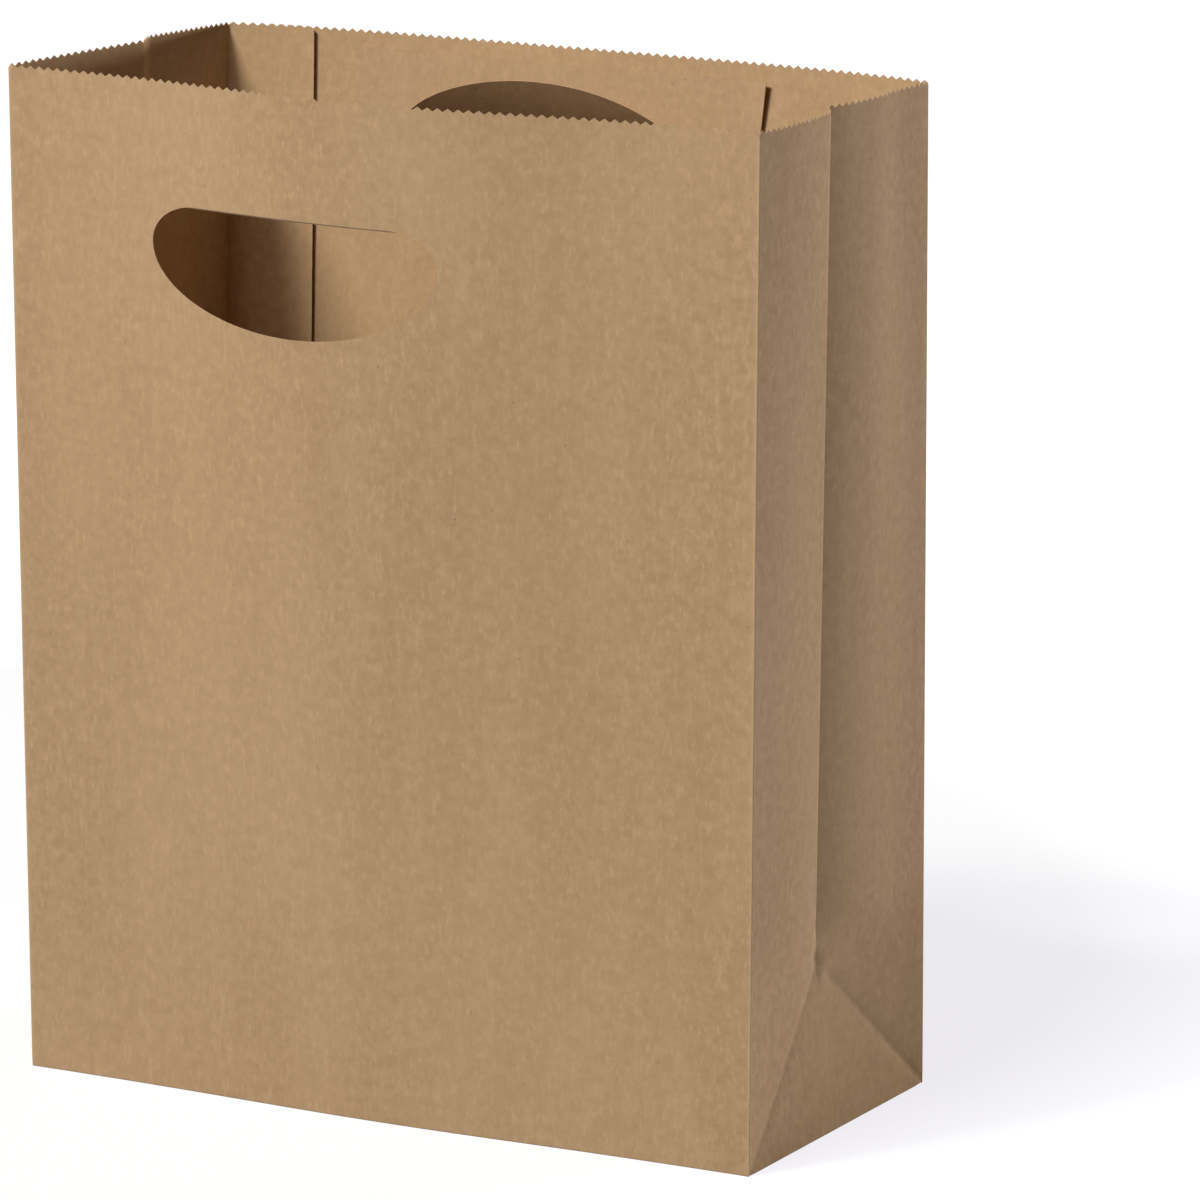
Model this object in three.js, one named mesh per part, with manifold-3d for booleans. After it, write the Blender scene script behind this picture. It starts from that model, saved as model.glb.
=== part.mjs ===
// Paper carrier bag: one folded kraft sheet with two die-cut hand holes, and a patch glued inside at each.
// Millimetres, +Z up. The origin is the middle of the base, on the surface that the bag stands on.
// The front panel faces -Y. The lengthwise seam is inside the back panel, by its left corner.
import * as THREE from 'three';
import { mergeVertices } from 'three/addons/utils/BufferGeometryUtils.js';
import Module from 'manifold-3d';

const wasm = await Module();
wasm.setup();
const { lerp, smoothstep, degToRad } = THREE.MathUtils;

// Overall size, at the base
const WIDTH = 224;
const DEPTH = 105;
const HEIGHT = 280;
const PAPER = 0.2;

// How far each corner of the mouth stands off the point above its corner of the base, along X and Y
const FRONT_LEFT_LEAN = [-5.6, 2.5];
const FRONT_RIGHT_LEAN = [1.5, -1.8];
const BACK_RIGHT_LEAN = [0.4, -5.5];
const BACK_LEFT_LEAN = [4.2, -2.5];

// Bulge of the two wide panels, out of the flat
const FRONT_BULGE_BASE = 2.5;
const FRONT_BULGE_MOUTH = 10.5;
const BACK_BULGE_BASE = 2.5;
const BACK_BULGE_MOUTH = 7;

// Gussets: the middle crease is pushed in, from the height where it splits into two slanting folds.
// A ridge stands beside it. Places are at the mouth, as shares of the way across, and a rise is outward.
const CREASE_FOOT = 46;
const CREASE_HOLLOW = 1.7;
const RIDGE_SHARE = 0.42;
const RIDGE_RISE_FOOT = -3;
const RIDGE_SETTLE = 70;
const RIGHT_PUSH_FOOT = 5.5;
const RIGHT_PUSH_MOUTH = 4.3;
const RIGHT_CREASE_PLACE = 0.478;
const RIGHT_RIDGE_PLACE = 0.4;
const RIGHT_RIDGE_RISE = 0.6;
const LEFT_PUSH_FOOT = 5;
const LEFT_PUSH_MOUTH = 2.1;
const LEFT_CREASE_PLACE = 0.423;
const LEFT_RIDGE_PLACE = 0.344;
const LEFT_RIDGE_RISE = 2.1;

// Pinked rim
const TOOTH_PITCH = 2.8;
const TOOTH_DEPTH = 1.2;
const RIM_BAND = 4;

// Hand holes, cut by one die in both wide panels: a flat top, round upper corners and a half ellipse below
const HANDLE_WIDTH = 92;
const HANDLE_HEIGHT = 32.4;
const HANDLE_DROP = 33.7;
const HANDLE_CORNER_RUN = 14.5;
const HANDLE_CORNER_FALL = 10.2;
const FRONT_HANDLE_X = -24.2;
const BACK_HANDLE_X = -4.5;

// The die leaves each cut-out on its flat top, as a flap that is folded in and up, this far off the panel
const FLAP_LEAN = degToRad(33);

// Patches glued inside, between the rim and the hand holes
const PATCH_WIDTH = 126;
const PATCH_HEIGHT = 26;
const PATCH_DROP = 5;
const PATCH_PAPER = 0.2;
const GLUE_LINE = 0.3;

// The back patch's right edge has come unstuck, most at the top
const PATCH_CURL_RUN = 14;
const PATCH_CURL_TOP = 1.3;
const PATCH_CURL_FOOT = 0.3;

// Lengthwise seam: the sheet's end laps inside the back panel, pressed into its glue, with a free lip
const SEAM_WIDTH = 26.5;
const SEAM_GLUED = 16;
const SEAM_LIP = 0.9;
const SEAM_BITE_SHARE = 0.75;

// Block bottom: plies of the folded-in flaps
const BASE_PLIES = 4;
const BACK_FLAP_REACH = 62;

// Fineness of the facets
const WIDE_COLUMNS = 16;
const UPPER_ROWS = 4;
const FLAP_STATIONS = 17;
const FLAP_END_ANGLE = degToRad(88);
const PATCH_COLUMNS = 18;
const PATCH_CURL_COLUMNS = 4;
const PATCH_ROWS = 4;
const SEAM_GLUED_COLUMNS = 3;
const SEAM_LIP_COLUMNS = 4;
const CURVE_SEGMENTS = 12;

// Paper colours
const KRAFT = { color: 0xb0906c, roughness: 0.85, metalness: 0 };
const PATCH_KRAFT = { color: 0xb69a7a, roughness: 0.88, metalness: 0 };

// Values worked out from the sizes above
const BASE_THICKNESS = BASE_PLIES * PAPER;
const SEAM_BITE = SEAM_BITE_SHARE * PAPER;
const HINGE_Z = HEIGHT - HANDLE_DROP;
const HALF_GUSSET_SHARES = [0, RIDGE_SHARE / 2, RIDGE_SHARE];
const GUSSET_SHARES = [...HALF_GUSSET_SHARES, 0.5, ...HALF_GUSSET_SHARES.map((t) => 1 - t).reverse()];
const CUT_REACH = DEPTH;
const OVERSHOOT = 10;

// Even steps between two values, both ends included
function spread(from, to, steps) {
  return Array.from({ length: steps + 1 }, (_, k) => lerp(from, to, k / steps));
}

// Collects the points and triangles of one closed solid
class Facets {
  points = [];
  triangles = [];

  add(point) {
    this.points.push(point.x, point.y, point.z);
    return this.points.length / 3 - 1;
  }

  addRing(flatRing, z) {
    return flatRing.map((p) => this.add(new THREE.Vector3(p.x, p.y, z)));
  }

  triangle(a, b, c) {
    this.triangles.push(a, b, c);
  }

  quad(a, b, c, d, rising = true) {
    if (rising) {
      this.triangle(a, b, c);
      this.triangle(a, c, d);
    } else {
      this.triangle(a, b, d);
      this.triangle(b, c, d);
    }
  }

  cap(ring, flatRing, facesForward) {
    for (const [a, b, c] of THREE.ShapeUtils.triangulateShape(flatRing, [])) {
      if (facesForward) {
        this.triangle(ring[a], ring[b], ring[c]);
      } else {
        this.triangle(ring[a], ring[c], ring[b]);
      }
    }
  }

  solid() {
    const geometry = new THREE.BufferGeometry();
    geometry.setAttribute('position', new THREE.Float32BufferAttribute(this.points, 3));
    geometry.setIndex(this.triangles);
    return solidFromGeometry(geometry);
  }
}

// A closed solid through rings of equal count. flatten gives a ring's points in its own plane, anticlockwise.
function loft(rings, flatten) {
  const facets = new Facets();
  const indexed = rings.map((ring) => ring.map((p) => facets.add(p)));
  for (let j = 0; j < indexed.length - 1; j += 1) {
    const low = indexed[j];
    const high = indexed[j + 1];
    low.forEach((a, i) => {
      const next = (i + 1) % low.length;
      facets.quad(a, low[next], high[next], high[i]);
    });
  }
  const last = rings.length - 1;
  facets.cap(indexed[0], rings[0].map(flatten), false);
  facets.cap(indexed[last], rings[last].map(flatten), true);
  return facets.solid();
}

function solidFromGeometry(geometry) {
  geometry.deleteAttribute('normal');
  geometry.deleteAttribute('uv');
  const merged = mergeVertices(geometry);
  return new wasm.Manifold(new wasm.Mesh({
    numProp: 3,
    vertProperties: new Float32Array(merged.attributes.position.array),
    triVerts: new Uint32Array(merged.index.array),
  }));
}

function geometryFromSolid(solid) {
  const mesh = solid.getMesh();
  const geometry = new THREE.BufferGeometry();
  geometry.setAttribute('position', new THREE.BufferAttribute(new Float32Array(mesh.vertProperties), 3));
  geometry.setIndex(new THREE.BufferAttribute(new Uint32Array(mesh.triVerts), 1));
  geometry.computeVertexNormals();
  return geometry;
}

// The four panels, anticlockwise from above. A place is a share of the way across, and a rise out of the flat.
function cornerAt(side, end, lean, z) {
  const rise = z / HEIGHT;
  return new THREE.Vector2(side * WIDTH / 2 + lean[0] * rise, end * DEPTH / 2 + lean[1] * rise);
}

const frontLeft = (z) => cornerAt(-1, -1, FRONT_LEFT_LEAN, z);
const frontRight = (z) => cornerAt(1, -1, FRONT_RIGHT_LEAN, z);
const backRight = (z) => cornerAt(1, 1, BACK_RIGHT_LEAN, z);
const backLeft = (z) => cornerAt(-1, 1, BACK_LEFT_LEAN, z);

function frontPlace(t, z) {
  const bulge = lerp(FRONT_BULGE_BASE, FRONT_BULGE_MOUTH, z / HEIGHT);
  return new THREE.Vector2(t, bulge * Math.sin(Math.PI * t) ** 3);
}

function backPlace(t, z) {
  const bulge = lerp(BACK_BULGE_BASE, BACK_BULGE_MOUTH, z / HEIGHT);
  return new THREE.Vector2(t, bulge * (1 - (2 * t - 1) ** 4));
}

// A gusset's section clear of its foot: flat up to the ridge, a step in to the crease, then a hollow half
function creasedSection(t, ridge, crease) {
  if (t <= RIDGE_SHARE) {
    return ridge.clone().multiplyScalar(t / RIDGE_SHARE);
  }
  if (t <= 0.5) {
    return ridge.clone().lerp(crease, (t - RIDGE_SHARE) / (0.5 - RIDGE_SHARE));
  }
  const rest = 2 * (1 - t);
  return new THREE.Vector2(1 - (1 - crease.x) * rest, crease.y * rest ** CREASE_HOLLOW);
}

// Below the crease's foot a flat triangle leans in between the two slanting folds
function gussetPlace(gusset, t, z) {
  const up = Math.max(0, (z - CREASE_FOOT) / (HEIGHT - CREASE_FOOT));
  const push = lerp(gusset.pushFoot, gusset.pushMouth, up);
  const crease = new THREE.Vector2(lerp(0.5, gusset.creasePlace, up), -push);
  const ridgeRise = lerp(RIDGE_RISE_FOOT, gusset.ridgeRise, up);
  const ridge = new THREE.Vector2(lerp(RIDGE_SHARE, gusset.ridgePlace, up), ridgeRise);
  const triangle = new THREE.Vector2(t, -push * Math.min(z / CREASE_FOOT, 1 - Math.abs(2 * t - 1)));
  const settled = smoothstep(z, CREASE_FOOT, CREASE_FOOT + RIDGE_SETTLE);
  return triangle.lerp(creasedSection(t, ridge, crease), settled);
}

const RIGHT_GUSSET = {
  pushFoot: RIGHT_PUSH_FOOT,
  pushMouth: RIGHT_PUSH_MOUTH,
  creasePlace: RIGHT_CREASE_PLACE,
  ridgePlace: RIGHT_RIDGE_PLACE,
  ridgeRise: RIGHT_RIDGE_RISE,
};
const LEFT_GUSSET = {
  pushFoot: LEFT_PUSH_FOOT,
  pushMouth: LEFT_PUSH_MOUTH,
  creasePlace: LEFT_CREASE_PLACE,
  ridgePlace: LEFT_RIDGE_PLACE,
  ridgeRise: LEFT_RIDGE_RISE,
};
const WIDE_SHARES = spread(0, 1, WIDE_COLUMNS);

const PANELS = [
  { from: frontLeft, to: frontRight, shares: WIDE_SHARES, place: frontPlace },
  { from: frontRight, to: backRight, shares: GUSSET_SHARES, place: (t, z) => gussetPlace(RIGHT_GUSSET, t, z) },
  { from: backRight, to: backLeft, shares: WIDE_SHARES, place: backPlace },
  { from: backLeft, to: frontLeft, shares: GUSSET_SHARES, place: (t, z) => gussetPlace(LEFT_GUSSET, t, z) },
];
const BACK_START = WIDE_COLUMNS + GUSSET_SHARES.length - 1;

function outward(from, to) {
  const along = to.clone().sub(from).normalize();
  return new THREE.Vector2(along.y, -along.x);
}

// The sheet's outside at a height, one point for each share but a panel's last
function section(z) {
  const ring = [];
  for (const panel of PANELS) {
    const from = panel.from(z);
    const to = panel.to(z);
    const normal = outward(from, to);
    for (const t of panel.shares.slice(0, -1)) {
      const place = panel.place(t, z);
      ring.push(from.clone().lerp(to, place.x).addScaledVector(normal, place.y));
    }
  }
  return ring;
}

// The same ring moved in by a distance, with mitred corners
function inset(ring, distance) {
  const count = ring.length;
  return ring.map((p, i) => {
    const before = outward(ring[(i + count - 1) % count], p);
    const after = outward(p, ring[(i + 1) % count]);
    const mitre = before.clone().add(after).divideScalar(1 + before.dot(after));
    return p.clone().addScaledVector(mitre, -distance);
  });
}

const insideSection = (z) => inset(section(z), PAPER);

// The depth at which a wide panel's ring passes a place along X
function depthAt(ring, start, x) {
  for (let k = start; k < start + WIDE_COLUMNS; k += 1) {
    const a = ring[k];
    const b = ring[(k + 1) % ring.length];
    const share = (x - a.x) / (b.x - a.x);
    const isLast = k === start + WIDE_COLUMNS - 1;
    if (share <= 1 || isLast) {
      return lerp(a.y, b.y, share);
    }
  }
  return 0;
}

const frontInside = (x, z) => depthAt(insideSection(z), 0, x);
const backInside = (x, z) => depthAt(insideSection(z), BACK_START, x);

// Folded sheet: walls, floor and pinked rim as one skin
function teethPerColumn() {
  const rim = section(HEIGHT);
  return rim.map((p, i) => {
    const length = p.distanceTo(rim[(i + 1) % rim.length]);
    return Math.max(1, Math.round(length / TOOTH_PITCH));
  });
}

// The zigzag edge of one ring: for each column a row of low points, and a row of tips between them
function zigzag(facets, lowRing, tipRing, counts) {
  const corners = facets.addRing(lowRing, HEIGHT - TOOTH_DEPTH);
  return lowRing.map((a, i) => {
    const next = (i + 1) % lowRing.length;
    const count = counts[i];
    const lows = [corners[i]];
    const tips = [];
    for (let k = 0; k < count; k += 1) {
      const tip = tipRing[i].clone().lerp(tipRing[next], (k + 0.5) / count);
      tips.push(facets.add(new THREE.Vector3(tip.x, tip.y, HEIGHT)));
      if (k < count - 1) {
        const low = a.clone().lerp(lowRing[next], (k + 1) / count);
        lows.push(facets.add(new THREE.Vector3(low.x, low.y, HEIGHT - TOOTH_DEPTH)));
      }
    }
    lows.push(corners[next]);
    return { lows, tips };
  });
}

// The band between the top row of the grid and the teeth of one column
function rimBand(facets, left, right, edge, isOutside) {
  const { lows, tips } = edge;
  const face = (a, b, c) => (isOutside ? facets.triangle(a, b, c) : facets.triangle(a, c, b));
  const middle = Math.floor(tips.length / 2);
  face(left, right, lows[middle]);
  tips.forEach((tip, k) => {
    face(lows[k], lows[k + 1], tip);
    face(k < middle ? left : right, lows[k + 1], lows[k]);
  });
}

// Heights of the grid's rows above the base, up to the rim band. The slanting folds run through the lower ones.
function wallRows() {
  const lower = [...HALF_GUSSET_SHARES.slice(1), 0.5].map((t) => 2 * t * CREASE_FOOT);
  const upper = spread(CREASE_FOOT, HEIGHT - RIM_BAND, UPPER_ROWS).slice(1);
  return [...lower, ...upper];
}

function foldedSheet() {
  const facets = new Facets();
  const rows = [0, ...wallRows()];
  const innerRows = [BASE_THICKNESS, ...wallRows()];
  const outer = rows.map((z) => facets.addRing(section(z), z));
  const inner = innerRows.map((z) => facets.addRing(insideSection(z), z));

  const rising = PANELS.flatMap(({ shares }) => shares.slice(0, -1).map((t) => t < 0.5));
  for (let j = 0; j < rows.length - 1; j += 1) {
    rising.forEach((isRising, i) => {
      const next = (i + 1) % rising.length;
      facets.quad(outer[j][i], outer[j][next], outer[j + 1][next], outer[j + 1][i], isRising);
      facets.quad(inner[j][next], inner[j][i], inner[j + 1][i], inner[j + 1][next], !isRising);
    });
  }
  facets.cap(outer[0], section(0), false);
  facets.cap(inner[0], insideSection(BASE_THICKNESS), true);

  const top = rows.length - 1;
  const valley = HEIGHT - TOOTH_DEPTH;
  const counts = teethPerColumn();
  const outerEdge = zigzag(facets, section(valley), section(HEIGHT), counts);
  const innerEdge = zigzag(facets, insideSection(valley), insideSection(HEIGHT), counts);
  rising.forEach((_, i) => {
    const next = (i + 1) % rising.length;
    rimBand(facets, outer[top][i], outer[top][next], outerEdge[i], true);
    rimBand(facets, inner[top][i], inner[top][next], innerEdge[i], false);
    outerEdge[i].tips.forEach((tip, k) => {
      const { lows } = outerEdge[i];
      const insideLows = innerEdge[i].lows;
      const insideTip = innerEdge[i].tips[k];
      facets.quad(lows[k], tip, insideTip, insideLows[k]);
      facets.quad(tip, lows[k + 1], insideLows[k + 1], insideTip);
    });
  });
  return facets.solid();
}

// Underside of the block bottom. The back flap lies lowest, over the front flap and the folded gusset ends.
function prism(points, bottom, top) {
  const shape = new THREE.Shape(points.map(([x, y]) => new THREE.Vector2(x, y)));
  const geometry = new THREE.ExtrudeGeometry(shape, { depth: top - bottom, bevelEnabled: false });
  geometry.translate(0, 0, bottom);
  return solidFromGeometry(geometry);
}

function gussetEnd(side) {
  const edge = side * WIDTH / 2;
  const past = edge + side * OVERSHOOT;
  const reach = DEPTH / 2 + OVERSHOOT;
  return prism([[edge - side * DEPTH / 2, 0], [past, reach], [past, -reach]], -OVERSHOOT, 2 * PAPER);
}

function baseSteps() {
  const x = WIDTH / 2 + OVERSHOOT;
  const y = DEPTH / 2 + OVERSHOOT;
  const tipX = WIDTH / 2 - BACK_FLAP_REACH;
  const tipY = DEPTH / 2 - BACK_FLAP_REACH;
  const overFrontFlap = prism([[-x, -y], [x, -y], [x, y], [-x, y]], -OVERSHOOT, PAPER);
  const backFlap = prism([[-x, y], [-tipX, tipY], [tipX, tipY], [x, y]], -2 * OVERSHOOT, OVERSHOOT);
  return overFrontFlap.subtract(backFlap).add(gussetEnd(-1)).add(gussetEnd(1));
}

// Hand hole outline, from the middle of its flat top
function handleCutter(x, towards) {
  const half = HANDLE_WIDTH / 2;
  const run = HANDLE_CORNER_RUN;
  const fall = HANDLE_CORNER_FALL;
  const flat = half - run;
  const shape = new THREE.Shape();
  shape.moveTo(-flat, 0);
  shape.lineTo(flat, 0);
  shape.absellipse(flat, -fall, run, fall, Math.PI / 2, 0, true);
  shape.absellipse(0, -fall, half, HANDLE_HEIGHT - fall, 0, -Math.PI, true);
  shape.absellipse(-flat, -fall, run, fall, Math.PI, Math.PI / 2, true);
  const options = { depth: CUT_REACH, bevelEnabled: false, curveSegments: CURVE_SEGMENTS };
  const geometry = new THREE.ExtrudeGeometry(shape, options);
  geometry.rotateX(Math.PI / 2);
  geometry.translate(x, towards > 0 ? CUT_REACH : 0, HINGE_Z);
  return solidFromGeometry(geometry);
}

// The cut-out that stays on as a flap: it hinges on the flat top and leans in from the panel
function handleFlap(handleX, towards, insideAt) {
  const half = HANDLE_WIDTH / 2;
  const flat = half - HANDLE_CORNER_RUN;
  const bowl = HANDLE_HEIGHT - HANDLE_CORNER_FALL;
  const along = new THREE.Vector3(0, -towards * Math.sin(FLAP_LEAN), Math.cos(FLAP_LEAN));
  const across = new THREE.Vector3(0, towards * Math.cos(FLAP_LEAN), Math.sin(FLAP_LEAN));
  const rings = [];
  for (let k = 0; k < FLAP_STATIONS; k += 1) {
    const x = half * Math.sin(lerp(-FLAP_END_ANGLE, FLAP_END_ANGLE, k / (FLAP_STATIONS - 1)));
    const intoCorner = Math.max(0, Math.abs(x) - flat) / HANDLE_CORNER_RUN;
    const near = HANDLE_CORNER_FALL * (1 - Math.sqrt(1 - intoCorner ** 2));
    const far = HANDLE_CORNER_FALL + bowl * Math.sqrt(1 - (x / half) ** 2);
    const y = insideAt(handleX + x, HINGE_Z) + towards * PAPER / 2;
    const root = new THREE.Vector3(handleX + x, y, HINGE_Z + PAPER);
    const place = (reach, face) => root.clone().addScaledVector(along, reach)
      .addScaledVector(across, face * towards * PAPER / 2);
    rings.push([place(near, -1), place(near, 1), place(far, 1), place(far, -1)]);
  }
  return loft(rings, (p) => new THREE.Vector2(p.y, p.z));
}

// An upright strip along the inside of a wide panel. near and far are its faces' distances from the panel.
function insideStrip(xs, zs, towards, insideAt, near, far) {
  const rings = zs.map((z) => {
    const wallSide = xs.map((x) => new THREE.Vector3(x, insideAt(x, z) - towards * near(x, z), z));
    const bagSide = xs.map((x) => new THREE.Vector3(x, insideAt(x, z) - towards * far(x, z), z));
    return towards > 0 ? [...bagSide, ...wallSide.reverse()] : [...wallSide, ...bagSide.reverse()];
  });
  return loft(rings, (p) => new THREE.Vector2(p.x, p.y));
}

// Lengthwise seam: glued flat, then a lip that stands off the back panel
function seamLap() {
  const corner = (z) => insideSection(z)[BACK_START + WIDE_COLUMNS].x;
  const zs = [BASE_THICKNESS - PAPER, ...wallRows(), HEIGHT - TOOTH_DEPTH - PAPER];
  const glued = spread(-PAPER / 2, SEAM_GLUED, SEAM_GLUED_COLUMNS);
  const lip = spread(SEAM_GLUED, SEAM_WIDTH, SEAM_LIP_COLUMNS).slice(1);
  const lift = (d) => SEAM_LIP * (Math.max(0, d - SEAM_GLUED) / (SEAM_WIDTH - SEAM_GLUED)) ** 2;
  const sunk = (d) => (d > SEAM_GLUED ? 0 : SEAM_BITE);
  const rings = zs.map((z) => {
    const place = (d, off) => {
      const x = corner(z) + d;
      return new THREE.Vector3(x, backInside(x, z) - off, z);
    };
    const distances = [...glued, ...lip];
    const bagSide = distances.map((d) => place(d, lift(d) + PAPER));
    const wallSide = distances.map((d) => place(d, lift(d) - sunk(d)));
    return [...bagSide, ...wallSide.reverse()];
  });
  return loft(rings, (p) => new THREE.Vector2(p.x, p.y));
}

// A patch follows its panel at a glue line's distance, clear of the flap that leans over it
function handlePatch(handleX, towards, insideAt, curlTop, curlFoot) {
  const right = handleX + PATCH_WIDTH / 2;
  const top = HEIGHT - PATCH_DROP;
  const curl = (x, z) => {
    const share = Math.max(0, x - right + PATCH_CURL_RUN) / PATCH_CURL_RUN;
    return lerp(curlTop, curlFoot, (top - z) / PATCH_HEIGHT) * share ** 2;
  };
  const curlStart = right - PATCH_CURL_RUN;
  const flatXs = spread(handleX - PATCH_WIDTH / 2, curlStart, PATCH_COLUMNS);
  const curlXs = spread(curlStart, right, PATCH_CURL_COLUMNS).slice(1);
  const zs = spread(top - PATCH_HEIGHT, top, PATCH_ROWS);
  const near = (x, z) => GLUE_LINE + curl(x, z);
  const far = (x, z) => near(x, z) + PATCH_PAPER;
  return insideStrip([...flatXs, ...curlXs], zs, towards, insideAt, near, far);
}

function bagBody() {
  return foldedSheet()
    .subtract(handleCutter(FRONT_HANDLE_X, -1))
    .subtract(handleCutter(BACK_HANDLE_X, 1))
    .add(handleFlap(FRONT_HANDLE_X, -1, frontInside))
    .add(handleFlap(BACK_HANDLE_X, 1, backInside))
    .add(seamLap())
    .subtract(baseSteps());
}

function named(name, solid, paper) {
  const mesh = new THREE.Mesh(geometryFromSolid(solid), new THREE.MeshStandardMaterial(paper));
  mesh.name = name;
  return mesh;
}

const bag = new THREE.Group();
bag.name = 'paper_bag';
const backPatch = handlePatch(BACK_HANDLE_X, 1, backInside, PATCH_CURL_TOP, PATCH_CURL_FOOT);
const frontPatch = handlePatch(FRONT_HANDLE_X, -1, frontInside, 0, 0);
bag.add(named('bag_body', bagBody(), KRAFT));
bag.add(named('back_handle_patch', backPatch, PATCH_KRAFT));
bag.add(named('front_handle_patch', frontPatch, PATCH_KRAFT));

export default bag;
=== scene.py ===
"""A kraft paper carrier bag with die-cut hand holes: the folded sheet and its two patches.

Shapes are worked out in millimetres and turned into metres when a mesh is made.
The sheet is drawn flat, as a blank with its cuts and folds, and each point is then folded into place.
On the blank, u runs along the rim and z runs up. Across a panel, t runs from 0 to 1.
"""
import math
from typing import NamedTuple

import bpy
from mathutils import Matrix, Vector, geometry, noise


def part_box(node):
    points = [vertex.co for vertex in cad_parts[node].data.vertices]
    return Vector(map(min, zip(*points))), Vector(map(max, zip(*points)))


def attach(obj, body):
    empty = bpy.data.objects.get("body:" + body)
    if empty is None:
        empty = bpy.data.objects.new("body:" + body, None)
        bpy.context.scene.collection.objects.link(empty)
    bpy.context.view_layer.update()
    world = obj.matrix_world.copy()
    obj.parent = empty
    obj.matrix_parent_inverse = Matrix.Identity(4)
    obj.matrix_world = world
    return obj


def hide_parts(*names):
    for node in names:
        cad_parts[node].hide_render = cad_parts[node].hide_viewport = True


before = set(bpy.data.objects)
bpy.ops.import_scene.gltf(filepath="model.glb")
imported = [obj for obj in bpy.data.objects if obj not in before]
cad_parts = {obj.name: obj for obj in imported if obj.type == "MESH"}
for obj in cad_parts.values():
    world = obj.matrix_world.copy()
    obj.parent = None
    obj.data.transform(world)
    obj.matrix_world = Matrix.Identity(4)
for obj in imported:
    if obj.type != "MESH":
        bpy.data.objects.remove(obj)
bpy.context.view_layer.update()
_, bag_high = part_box("bag_body")

MM = 0.001


class Corner(NamedTuple):
    """A corner of the bag: its side along X and Y, and how far its mouth stands off its foot."""
    side: int
    end: int
    lean: tuple


class Gusset(NamedTuple):
    """How a gusset stands. Each pair is at the crease's foot and at the mouth.

    Places are parts of the way across. Offs and crowns are measured outward, and dips inward.
    Hollow is the power of the curve in the half beyond the crease.
    """
    ridge_place: tuple
    ridge_off: tuple
    crease_place: tuple
    crease_off: tuple
    crown: tuple
    dip: tuple
    hollow: float


class Pattern(NamedTuple):
    """A noise in the paper. It starts to show at the first limit and shows most at the second."""
    scale: float
    detail: float
    roughness: float
    limits: tuple = (0.0, 1.0)
    most: float = 1.0
    stretch: tuple = (1, 1, 1)
    shift: tuple = (0, 0, 0)


class Paper(NamedTuple):
    """The colours of a face of the paper as seen on screen, 0 to 255."""
    tone: tuple
    shade: tuple
    light: tuple
    speck: tuple


class Lamp(NamedTuple):
    """A soft lamp: degrees to the left of the front, degrees up and metres away."""
    name: str
    power: float
    color: tuple
    size: tuple
    left: float
    up: float
    away: float


# Overall size, at the base
WIDTH = 224.0
DEPTH = 105.0
HEIGHT = bag_high.z / MM
PAPER = 0.2

# Sides of the bag along Y, and its corners
FRONT = -1
BACK = 1
FRONT_LEFT = Corner(-1, FRONT, lean=(-5.6, 2.5))
FRONT_RIGHT = Corner(1, FRONT, lean=(1.5, -1.8))
BACK_RIGHT = Corner(1, BACK, lean=(0.4, -5.5))
BACK_LEFT = Corner(-1, BACK, lean=(4.2, -2.5))

# Bulge of the two wide panels, at the base and at the mouth, and the power of its curve across
FRONT_BULGE = (2.5, 10.5)
FRONT_BULGE_POWER = 3
BACK_BULGE = (2.5, 7.0)
BACK_BULGE_POWER = 4

# Slight ripples of the two wide panels
RIPPLE_HEIGHT = 0.35
RIPPLE_STRETCH = 2.5
RIPPLE_CALM_POWER = 0.5
FRONT_RIPPLE_SIZE = 34.0
FRONT_RIPPLE_SEED = 1.7
BACK_RIPPLE_SIZE = 38.0
BACK_RIPPLE_SEED = 5.3

# Gussets: a flat triangle up to the crease's foot, and above it two halves with a ridge beside the crease.
# The ridge's share and rounding are parts of the way across the blank.
CREASE_FOOT = 46.0
APEX_PLACE = 0.478
SETTLE = 16.0
RIDGE_SHARE = (0.44, 0.42)
RIDGE_ROUND = 0.012
DIP_REACH = 0.6
RIGHT_GUSSET = Gusset(
    ridge_place=(0.42, 0.40),
    ridge_off=(-3.0, 0.6),
    crease_place=(0.458, 0.478),
    crease_off=(-5.5, -4.3),
    crown=(0.8, 1.3),
    dip=(0.3, 0.7),
    hollow=4.2,
)
LEFT_GUSSET = Gusset(
    ridge_place=(0.42, 0.344),
    ridge_off=(-3.0, 2.1),
    crease_place=(0.458, 0.423),
    crease_off=(-5.0, -2.1),
    crown=(0.0, 0.0),
    dip=(0.0, 0.0),
    hollow=1.7,
)

# Grooves along the folds from the base's corners to the crease's foot
GROOVE = 0.3
GROOVE_REACH = 1.96

# Pinch at the crease's foot: a hollow and a swelling, placed across and up from it
PINCH = 0.8
PINCH_REACH = 2.3
PINCH_HOLLOW = (-1.0, 2.2)
PINCH_SWELLING = (2.2, -2.4)

# Folds and cuts of the sheet
FOLD_RADIUS = 0.3
# Reach of the pale paint beside the folds by the front panel: partly rubbed wear, partly painted light
RUBBED_AND_PAINTED_LIGHT_REACH = 1.1
TOOTH_PITCH = 2.8
TOOTH_DEPTH = 0.95
SEAM_WIDTH = 26.5
SEAM_GLUED = 16.0
SEAM_LIP = 0.9
SEAM_GLUE = 0.05

# Hand holes and their flaps
HANDLE_WIDTH = 92.0
HANDLE_HEIGHT = 32.4
HANDLE_DROP = 33.7
HANDLE_CORNER_RUN = 14.5
HANDLE_CORNER_FALL = 10.2
FRONT_HANDLE_X = -24.2
BACK_HANDLE_X = -4.5
HINGE_Z = HEIGHT - HANDLE_DROP
FLAP_ROOT_LEAN = math.radians(58)
FLAP_TIP_LEAN = math.radians(3)
FLAP_FOLD_RADIUS = 0.5

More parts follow.
